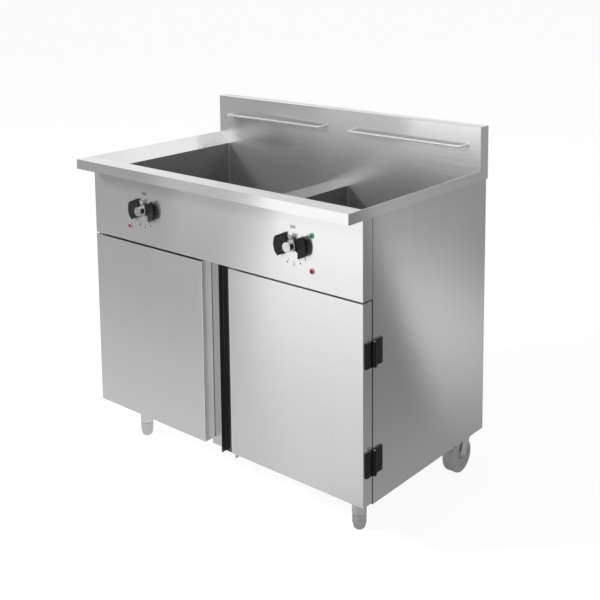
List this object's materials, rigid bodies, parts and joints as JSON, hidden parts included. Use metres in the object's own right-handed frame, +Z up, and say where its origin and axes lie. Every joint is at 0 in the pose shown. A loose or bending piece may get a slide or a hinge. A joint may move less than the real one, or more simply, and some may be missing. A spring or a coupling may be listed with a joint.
{
  "type": "electric fish fryer",
  "caption": "Free-standing stainless catering fryer with two deep wells, splashback with basket rails, dial thermostats and a cabinet with hinged doors.",
  "frame": {"origin": "on the floor, below the middle of the top", "axes": "+X to the right seen from the front, +Y to the back, +Z up; the doors face -Y"},
  "size_m": [1.0176, 0.616, 0.99],
  "materials": {
    "stainless": "brushed",
    "polished_rod": "satin",
    "element_sheath": "satin",
    "knob_black": "semi-gloss",
    "bright_hub": "turned",
    "plain_steel": "plain",
    "thermostat_metal": "plain",
    "lens_green": "clear",
    "lens_red": "clear",
    "gear_plastic": "moulded",
    "gland_plastic": "moulded",
    "hinge_plastic": "moulded",
    "valve_brass": "cast",
    "ball_chrome": "polished",
    "lever_grip": "dipped",
    "drain_steel": "plain",
    "leg_steel": "satin",
    "zinc_steel": "zinc plated",
    "wheel_grey": "moulded"
  },
  "bodies": {
    "fryer": {"back_panel": "stainless", "base_panel": "stainless", "basket_rail_left": "polished_rod", "basket_rail_right": "polished_rod", "bridge": "stainless", "cable_gland": "gland_plastic", "castor_plate_left": "zinc_steel", "castor_plate_right": "zinc_steel", "contactors": "gear_plastic", "control_tray": "stainless", "drain_pipe_left": "drain_steel", "drain_pipe_right": "drain_steel", "element_bank_left": "element_sheath", "element_bank_right": "element_sheath", "fascia": "stainless", "hinge_leaves_panel": "hinge_plastic", "hinge_pins": "plain_steel", "hinge_screws_panel": "plain_steel", "lamp_green": "lens_green", "lamps_red": "lens_red", "leg_left": "leg_steel", "leg_right": "leg_steel", "mullion": "stainless", "side_panel_left": "stainless", "side_panel_right": "stainless", "splashback": "stainless", "terminal_block": "gear_plastic", "thermostat_left": "thermostat_metal", "thermostat_right": "thermostat_metal", "top_deck": "stainless", "valve_body_left": "valve_brass", "valve_body_right": "valve_brass", "well_left": "stainless", "well_right": "stainless"},
    "door_left": {"door_left": "stainless", "door_liner_left": "stainless", "hinge_leaves_door_left": "hinge_plastic", "hinge_screws_door_left": "plain_steel"},
    "door_right": {"door_right": "stainless", "door_liner_right": "stainless", "hinge_leaves_door_right": "hinge_plastic", "hinge_screws_door_right": "plain_steel"},
    "knob_left": {"knob_grip_left": "knob_black", "knob_hub_left": "bright_hub", "thermostat_spindle_left": "plain_steel"},
    "knob_right": {"knob_grip_right": "knob_black", "knob_hub_right": "bright_hub", "thermostat_spindle_right": "plain_steel"},
    "valve_left": {"valve_ball_left": "ball_chrome", "valve_lever_left": "lever_grip"},
    "valve_right": {"valve_ball_right": "ball_chrome", "valve_lever_right": "lever_grip"},
    "castor_left": {"castor_fork_left": "zinc_steel", "castor_axle_left": "plain_steel"},
    "castor_right": {"castor_fork_right": "zinc_steel", "castor_axle_right": "plain_steel"},
    "wheel_left": {"castor_wheel_left": "wheel_grey"},
    "wheel_right": {"castor_wheel_right": "wheel_grey"},
    "foot_left": {"foot_left": "leg_steel"},
    "foot_right": {"foot_right": "leg_steel"}
  },
  "joints": [
    {"name": "door_left_hinge", "type": "hinge", "parent": "fryer", "child": "door_left", "pos_m": [-0.5028, -0.2125, 0.3815], "axis": [0, 0, -1], "range_deg": [0, 165]},
    {"name": "knob_left_turn", "type": "hinge", "parent": "fryer", "child": "knob_left", "pos_m": [-0.279, -0.2494, 0.743], "axis": [0, 1, 0], "range_deg": [0, 270]},
    {"name": "drain_left_lever", "type": "hinge", "parent": "fryer", "child": "valve_left", "pos_m": [-0.25065, -0.108, 0.47], "axis": [0, -1, 0], "range_deg": [0, 90]},
    {"name": "castor_left_swivel", "type": "hinge", "parent": "fryer", "child": "castor_left", "pos_m": [-0.447, 0.272, 0.1125], "axis": [0, 0, 1], "continuous": true},
    {"name": "castor_left_spin", "type": "hinge", "parent": "castor_left", "child": "wheel_left", "pos_m": [-0.447, 0.249, 0.049], "axis": [1, 0, 0], "continuous": true},
    {"name": "foot_left_screw", "type": "hinge", "parent": "fryer", "child": "foot_left", "pos_m": [-0.41, -0.153, 0.042], "axis": [0, 0, 1], "range_deg": [-360, 360]},
    {"name": "door_right_hinge", "type": "hinge", "parent": "fryer", "child": "door_right", "pos_m": [0.5028, -0.2125, 0.3815], "axis": [0, 0, 1], "range_deg": [0, 165]},
    {"name": "knob_right_turn", "type": "hinge", "parent": "fryer", "child": "knob_right", "pos_m": [0.278, -0.2494, 0.743], "axis": [0, 1, 0], "range_deg": [0, 270]},
    {"name": "drain_right_lever", "type": "hinge", "parent": "fryer", "child": "valve_right", "pos_m": [0.25065, -0.108, 0.47], "axis": [0, 1, 0], "range_deg": [0, 90]},
    {"name": "castor_right_swivel", "type": "hinge", "parent": "fryer", "child": "castor_right", "pos_m": [0.447, 0.272, 0.1125], "axis": [0, 0, 1], "continuous": true},
    {"name": "castor_right_spin", "type": "hinge", "parent": "castor_right", "child": "wheel_right", "pos_m": [0.447, 0.249, 0.049], "axis": [1, 0, 0], "continuous": true},
    {"name": "foot_right_screw", "type": "hinge", "parent": "fryer", "child": "foot_right", "pos_m": [0.41, -0.153, 0.042], "axis": [0, 0, 1], "range_deg": [-360, 360]}
  ]
}
